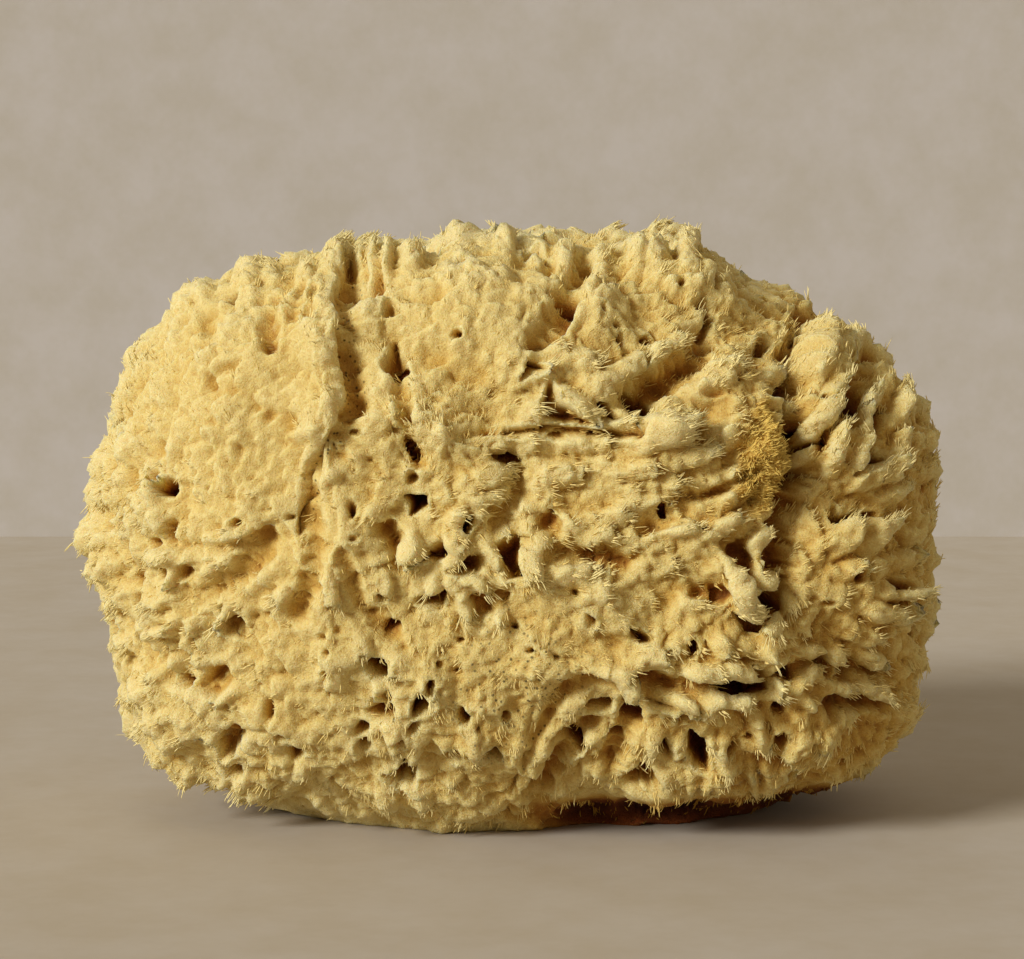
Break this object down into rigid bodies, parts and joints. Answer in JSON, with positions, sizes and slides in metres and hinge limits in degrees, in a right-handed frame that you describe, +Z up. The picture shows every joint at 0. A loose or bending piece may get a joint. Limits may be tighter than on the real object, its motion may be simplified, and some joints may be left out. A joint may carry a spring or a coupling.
{
  "type": "sea sponge",
  "caption": "Natural bath sponge: a rounded, lobed block of soft fibre, tufted all over and pierced with pores and mouths, cut off flat at the base.",
  "frame": {"origin": "middle of the bounding box in plan, on the flat cut base", "axes": "+X along the sponge's width, +Y from the front to the back, +Z up"},
  "size_m": [0.1476, 0.094, 0.1016],
  "materials": {
    "spongin": "dull, open felt of dry spongin fibre, butter yellow with ochre hollows"
  },
  "bodies": {
    "root": {"sponge": "spongin"}
  },
  "joints": []
}
